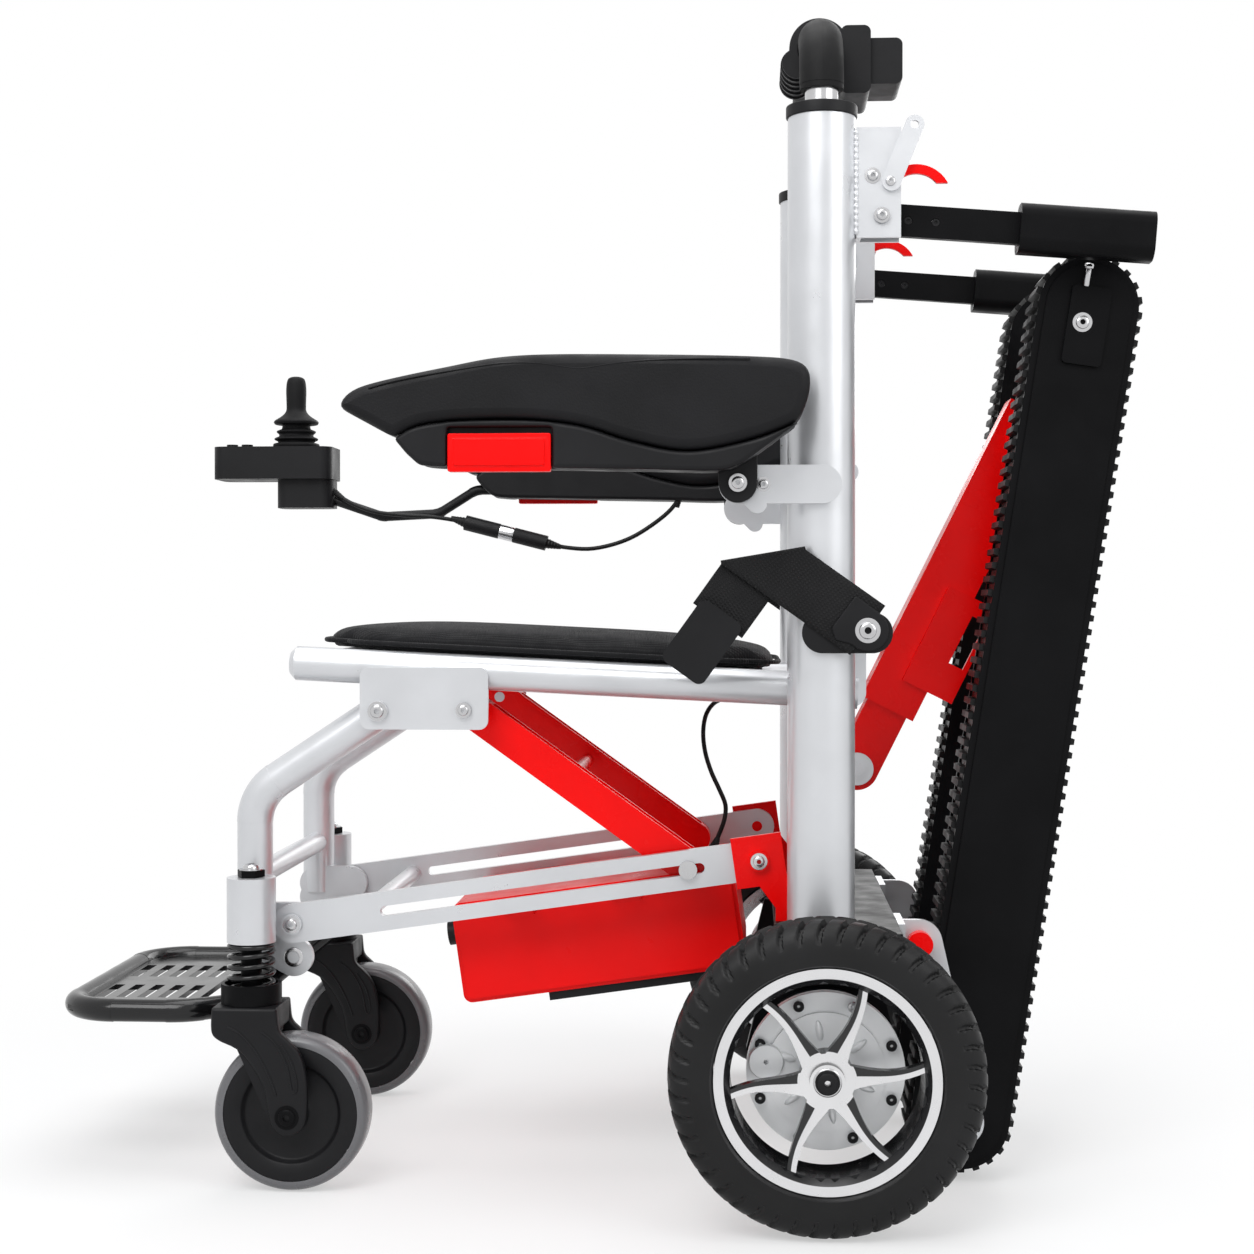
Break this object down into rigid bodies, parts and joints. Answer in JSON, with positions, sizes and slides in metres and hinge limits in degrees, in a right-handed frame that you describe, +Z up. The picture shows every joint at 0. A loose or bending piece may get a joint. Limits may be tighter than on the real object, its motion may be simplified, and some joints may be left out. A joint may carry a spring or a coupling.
{
  "type": "stair climbing wheelchair",
  "caption": "Folding powered wheelchair with crawler tracks behind its back, spoked rear wheels, sprung front casters, flip-up armrests and a joystick.",
  "frame": {"origin": "on the floor, under the middle of the bounding box", "axes": "+Z is up; -X is the front, where the footrest is; -Y is the chair's left side"},
  "size_m": [0.9566, 0.61, 1.0144],
  "materials": {
    "silver_frame": "silver grey satin paint on aluminium",
    "black_frame": "black satin powder coat on aluminium",
    "black_steel": "black gloss paint on steel",
    "bright_steel": "bright plated steel",
    "red_metal": "red gloss powder coat on aluminium",
    "red_plastic": "red moulded plastic",
    "black_plastic": "black moulded plastic with a fine grain",
    "black_foam": "matt black foam sleeve",
    "upholstery": "black woven cover over foam",
    "webbing": "black woven webbing",
    "tyre_rubber": "black tyre rubber",
    "belt_rubber": "black belt rubber",
    "caster_compound": "grey wheel compound round a black hub",
    "cast_rim": "cast aluminium, polished on its face",
    "cord_sheath": "black cable sheath"
  },
  "bodies": {
    "frame": {"posts": "silver_frame", "post_collars": "black_plastic", "base_beam": "black_frame", "gear_motors": "black_steel", "motor_covers": "silver_frame", "track_carriers": "silver_frame", "red_fittings": "red_metal", "upper_brackets": "silver_frame", "backrest": "upholstery", "armrest_hinges": "silver_frame", "belt_straps": "webbing", "belt_hardware": "black_plastic"},
    "handle": {"push_bar": "silver_frame", "handle_grip": "black_foam", "hand_control": "black_plastic"},
    "lift_left": {"lift_bar_left": "black_frame"},
    "lift_right": {"lift_bar_right": "black_frame"},
    "trigger_l": {"trigger_left": "red_metal"},
    "trigger_r": {"trigger_right": "red_metal"},
    "tracks": {"track_frames": "black_frame", "track_belts": "belt_rubber"},
    "drive": {"drive_pulleys": "black_plastic"},
    "idlers": {"idler_pulleys": "black_plastic"},
    "arm_low": {"arm_inner": "red_metal"},
    "arm_high": {"arm_outer": "red_metal"},
    "seat": {"seat_frame": "silver_frame", "seat_cushion": "upholstery"},
    "rails": {"side_rails": "silver_frame", "battery_box": "red_plastic", "battery_fittings": "black_plastic", "seat_cable": "cord_sheath"},
    "slides": {"slot_slides": "bright_steel"},
    "struts": {"fold_struts": "red_metal"},
    "legs": {"front_legs": "silver_frame", "caster_spring_left": "black_steel", "caster_spring_right": "black_steel"},
    "foot": {"footrest": "black_frame"},
    "stem_left": {"caster_stem_left": "black_steel"},
    "stem_right": {"caster_stem_right": "black_steel"},
    "fork_left": {"caster_fork_left": "black_frame"},
    "fork_right": {"caster_fork_right": "black_frame"},
    "caster_left": {"caster_wheel_left": "caster_compound"},
    "caster_right": {"caster_wheel_right": "caster_compound"},
    "wheel_left": {"wheel_tyre_left": "tyre_rubber", "wheel_rim_left": "cast_rim"},
    "wheel_right": {"wheel_tyre_right": "tyre_rubber", "wheel_rim_right": "cast_rim"},
    "armrest_l": {"armrest_left": "black_plastic"},
    "armrest_r": {"armrest_right": "black_plastic", "joystick_box": "black_plastic", "joystick_boot": "black_foam", "lead_front": "cord_sheath", "lead_rear": "cord_sheath", "lead_connector": "black_plastic"},
    "paddle_l": {"paddle_left": "red_plastic"},
    "paddle_r": {"paddle_right": "red_plastic"},
    "gimbal": {"joystick_gimbal": "bright_steel"},
    "stick": {"joystick_stick": "black_plastic"},
    "button_f": {"button_front": "black_plastic"},
    "button_r": {"button_rear": "black_plastic"}
  },
  "joints": [
    {"name": "fold", "type": "hinge", "parent": "frame", "child": "rails", "pos_m": [0.147, 0, 0.282], "axis": [0, 1, 0], "range_deg": [0, 68], "deforming": ["seat_cable"]},
    {"name": "seat_fold", "type": "hinge", "parent": "frame", "child": "seat", "pos_m": [0.226, 0, 0.47], "axis": [0, 1, 0], "range_deg": [0, 68]},
    {"name": "leg_level", "type": "hinge", "parent": "rails", "child": "legs", "pos_m": [-0.262, 0, 0.223], "axis": [0, 1, 0], "range_deg": [-68, 0]},
    {"name": "strut_turn", "type": "hinge", "parent": "seat", "child": "struts", "pos_m": [-0.108, 0, 0.412], "axis": [0, 1, 0], "range_deg": [-4, 0]},
    {"name": "slot_slide", "type": "slide", "parent": "rails", "child": "slides", "axis": [-0.9898, 0, -0.1428], "range_m": [0, 0.2172]},
    {"name": "track_swing", "type": "hinge", "parent": "frame", "child": "tracks", "pos_m": [0.322, 0, 0.054], "axis": [0, 1, 0], "range_deg": [0, 38]},
    {"name": "arm_turn", "type": "hinge", "parent": "frame", "child": "arm_low", "pos_m": [0.238, 0, 0.352], "axis": [0, 1, 0], "range_deg": [0, 49]},
    {"name": "arm_extend", "type": "slide", "parent": "arm_low", "child": "arm_high", "axis": [0.4446, 0, 0.8957], "range_m": [0, 0.186]},
    {"name": "drive_spin", "type": "hinge", "parent": "tracks", "child": "drive", "pos_m": [0.322, 0, 0.054], "axis": [0, 1, 0], "continuous": true},
    {"name": "idler_spin", "type": "hinge", "parent": "tracks", "child": "idlers", "pos_m": [0.43138, 0, 0.76058], "axis": [0, 1, 0], "continuous": true},
    {"name": "handle_slide", "type": "slide", "parent": "frame", "child": "handle", "axis": [0, 0, 1], "range_m": [0, 0.19]},
    {"name": "footrest_flip", "type": "hinge", "parent": "legs", "child": "foot", "pos_m": [-0.263, 0, 0.192], "axis": [0, 1, 0], "range_deg": [0, 80]},
    {"name": "lift_left", "type": "hinge", "parent": "frame", "child": "lift_left", "pos_m": [0.249, -0.169, 0.829], "axis": [0, -1, 0], "range_deg": [0, 80]},
    {"name": "trigger_squeeze_left", "type": "hinge", "parent": "frame", "child": "trigger_l", "pos_m": [0.256, -0.1785, 0.857], "axis": [0, -1, 0], "range_deg": [0, 18], "stiffness_Nm_per_rad": 0.5, "springref_deg": -11.46},
    {"name": "suspension_left", "type": "slide", "parent": "legs", "child": "stem_left", "axis": [0, 0, 1], "range_m": [0, 0.012], "stiffness_N_per_m": 15000, "springref_m": -0.008, "deforming": ["caster_spring_left"]},
    {"name": "swivel_left", "type": "hinge", "parent": "stem_left", "child": "fork_left", "pos_m": [-0.291, -0.169, 0.16], "axis": [0, 0, 1], "continuous": true},
    {"name": "caster_spin_left", "type": "hinge", "parent": "fork_left", "child": "caster_left", "pos_m": [-0.254, -0.169, 0.067], "axis": [0, 1, 0], "continuous": true},
    {"name": "wheel_spin_left", "type": "hinge", "parent": "frame", "child": "wheel_left", "pos_m": [0.2, -0.277, 0.127], "axis": [0, 1, 0], "continuous": true},
    {"name": "armrest_flip_left", "type": "hinge", "parent": "frame", "child": "armrest_l", "pos_m": [0.129, -0.227, 0.603], "axis": [0, 1, 0], "range_deg": [0, 90]},
    {"name": "paddle_lift_left", "type": "slide", "parent": "armrest_l", "child": "paddle_l", "axis": [0, 0, 1], "range_m": [0, 0.004], "stiffness_N_per_m": 800, "springref_m": -0.004},
    {"name": "lift_right", "type": "hinge", "parent": "frame", "child": "lift_right", "pos_m": [0.249, 0.169, 0.829], "axis": [0, -1, 0], "range_deg": [0, 80]},
    {"name": "trigger_squeeze_right", "type": "hinge", "parent": "frame", "child": "trigger_r", "pos_m": [0.256, 0.1785, 0.857], "axis": [0, -1, 0], "range_deg": [0, 18], "stiffness_Nm_per_rad": 0.5, "springref_deg": -11.46},
    {"name": "suspension_right", "type": "slide", "parent": "legs", "child": "stem_right", "axis": [0, 0, 1], "range_m": [0, 0.012], "stiffness_N_per_m": 15000, "springref_m": -0.008, "deforming": ["caster_spring_right"]},
    {"name": "swivel_right", "type": "hinge", "parent": "stem_right", "child": "fork_right", "pos_m": [-0.291, 0.169, 0.16], "axis": [0, 0, 1], "continuous": true},
    {"name": "caster_spin_right", "type": "hinge", "parent": "fork_right", "child": "caster_right", "pos_m": [-0.254, 0.169, 0.067], "axis": [0, 1, 0], "continuous": true},
    {"name": "wheel_spin_right", "type": "hinge", "parent": "frame", "child": "wheel_right", "pos_m": [0.2, 0.277, 0.127], "axis": [0, 1, 0], "continuous": true},
    {"name": "armrest_flip_right", "type": "hinge", "parent": "frame", "child": "armrest_r", "pos_m": [0.129, 0.227, 0.603], "axis": [0, 1, 0], "range_deg": [0, 90]},
    {"name": "paddle_lift_right", "type": "slide", "parent": "armrest_r", "child": "paddle_r", "axis": [0, 0, 1], "range_m": [0, 0.004], "stiffness_N_per_m": 800, "springref_m": -0.004},
    {"name": "stick_pitch", "type": "hinge", "parent": "armrest_r", "child": "gimbal", "pos_m": [-0.343, 0.244, 0.656], "axis": [0, 1, 0], "range_deg": [-15, 15], "stiffness_Nm_per_rad": 0.3, "deforming": ["joystick_boot"]},
    {"name": "stick_roll", "type": "hinge", "parent": "gimbal", "child": "stick", "pos_m": [-0.343, 0.244, 0.656], "axis": [1, 0, 0], "range_deg": [-15, 15], "stiffness_Nm_per_rad": 0.3, "deforming": ["joystick_boot"]},
    {"name": "press_front", "type": "slide", "parent": "armrest_r", "child": "button_f", "axis": [0, 0, -1], "range_m": [0, 0.0015], "stiffness_N_per_m": 600, "springref_m": -0.001},
    {"name": "press_rear", "type": "slide", "parent": "armrest_r", "child": "button_r", "axis": [0, 0, -1], "range_m": [0, 0.0015], "stiffness_N_per_m": 600, "springref_m": -0.001}
  ],
  "couplings": [
    {"joint": "seat_fold", "follows": "fold", "ratio": 1},
    {"joint": "leg_level", "follows": "fold", "ratio": -1},
    {"joint": "strut_turn", "follows": "fold", "ratio": -0.0567},
    {"joint": "slot_slide", "follows": "fold", "m_per_rad": 0.18288},
    {"joint": "arm_turn", "follows": "track_swing", "ratio": 1.2845},
    {"joint": "arm_extend", "follows": "track_swing", "m_per_rad": 0.2801},
    {"joint": "idler_spin", "follows": "drive_spin", "ratio": 1}
  ]
}
